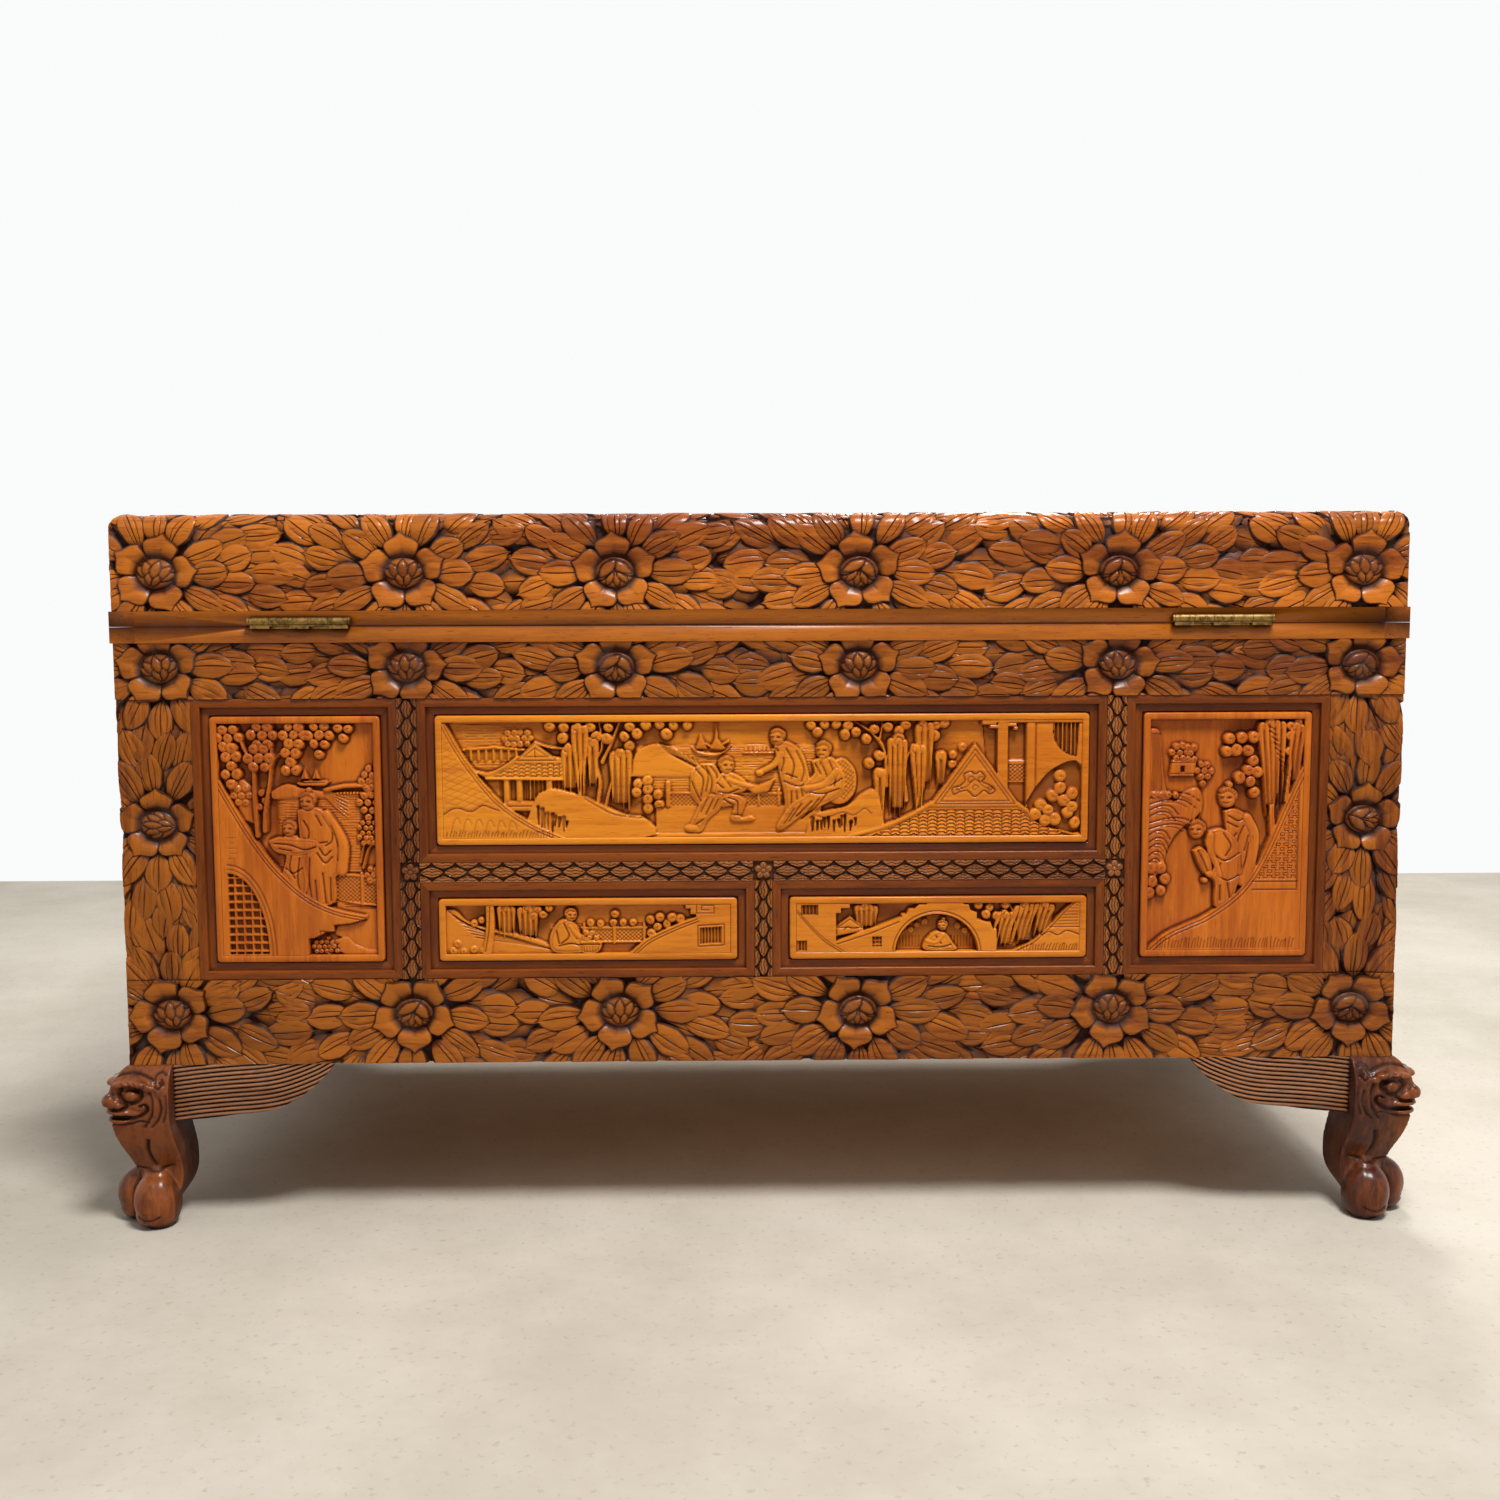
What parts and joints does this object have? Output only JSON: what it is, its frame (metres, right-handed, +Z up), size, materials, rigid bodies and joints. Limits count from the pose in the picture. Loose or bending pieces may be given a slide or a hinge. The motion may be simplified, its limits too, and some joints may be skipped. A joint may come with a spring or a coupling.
{
  "type": "carved camphor chest",
  "caption": "Long carved wooden chest on short beast-mask cabriole legs, with framed relief panels and a hinged lid over one open inside.",
  "frame": {"origin": "on the floor, under the middle of the chest's outer box", "axes": "+X along the length, to the right of a viewer who faces the hinged back; +Y from the hinged back towards the lock front; +Z up"},
  "size_m": [1.054, 0.534, 0.57],
  "materials": {
    "carved_wood": "stained and varnished, satin, dark in the hollows",
    "rim_wood": "varnished, satin",
    "panel_wood": "honey varnish, satin",
    "moulding_wood": "varnished, satin",
    "leg_wood": "dark stain, semi-gloss",
    "inner_wood": "bare, matt",
    "aged_brass": "aged, dull",
    "lock_brass": "satin",
    "brass_screws": "aged, dull",
    "steel": "dull"
  },
  "bodies": {
    "chest": {"back_bottom_rail": "carved_wood", "back_centre_panel": "panel_wood", "back_left_corner_post": "carved_wood", "back_left_leg": "leg_wood", "back_left_muntin": "carved_wood", "back_left_panel": "panel_wood", "back_lower_left_panel": "panel_wood", "back_lower_muntin": "carved_wood", "back_lower_right_panel": "panel_wood", "back_mid_rail": "carved_wood", "back_right_corner_post": "carved_wood", "back_right_leg": "leg_wood", "back_right_muntin": "carved_wood", "back_right_panel": "panel_wood", "back_top_rail": "carved_wood", "body_rim_moulding": "rim_wood", "bottom_board": "inner_wood", "front_bottom_rail": "carved_wood", "front_centre_panel": "panel_wood", "front_left_corner_post": "carved_wood", "front_left_leg": "leg_wood", "front_left_muntin": "carved_wood", "front_left_panel": "panel_wood", "front_lower_left_panel": "panel_wood", "front_lower_muntin": "carved_wood", "front_lower_right_panel": "panel_wood", "front_mid_rail": "carved_wood", "front_right_corner_post": "carved_wood", "front_right_leg": "leg_wood", "front_right_muntin": "carved_wood", "front_right_panel": "panel_wood", "front_top_rail": "carved_wood", "hinge_body_leaves": "aged_brass", "hinge_body_screws": "brass_screws", "hinge_pins": "aged_brass", "knee_brackets": "leg_wood", "left_end_bottom_rail": "carved_wood", "left_end_panel": "panel_wood", "left_end_top_rail": "carved_wood", "leg_screws": "steel", "lock_case": "lock_brass", "lock_escutcheon": "aged_brass", "lock_screws": "brass_screws", "panel_mouldings": "moulding_wood", "right_end_bottom_rail": "carved_wood", "right_end_panel": "panel_wood", "right_end_top_rail": "carved_wood"},
    "lid": {"lid_back_board": "carved_wood", "lid_front_board": "carved_wood", "lid_left_end_board": "carved_wood", "lid_right_end_board": "carved_wood", "lid_top_board": "carved_wood", "lid_top_panel": "panel_wood", "lid_top_moulding": "moulding_wood", "lid_rim_moulding": "rim_wood", "hinge_lid_leaves": "aged_brass", "hinge_lid_screws": "brass_screws", "lock_strike_plate": "aged_brass"},
    "lock_bolt": {"lock_bolt": "lock_brass"}
  },
  "joints": [
    {"name": "lid_hinge", "type": "hinge", "parent": "chest", "child": "lid", "pos_m": [0, -0.2535, 0.4857], "axis": [1, 0, 0], "range_deg": [0, 100]},
    {"name": "lock_slide", "type": "slide", "parent": "chest", "child": "lock_bolt", "axis": [1, 0, 0], "range_m": [0, 0.006]}
  ]
}
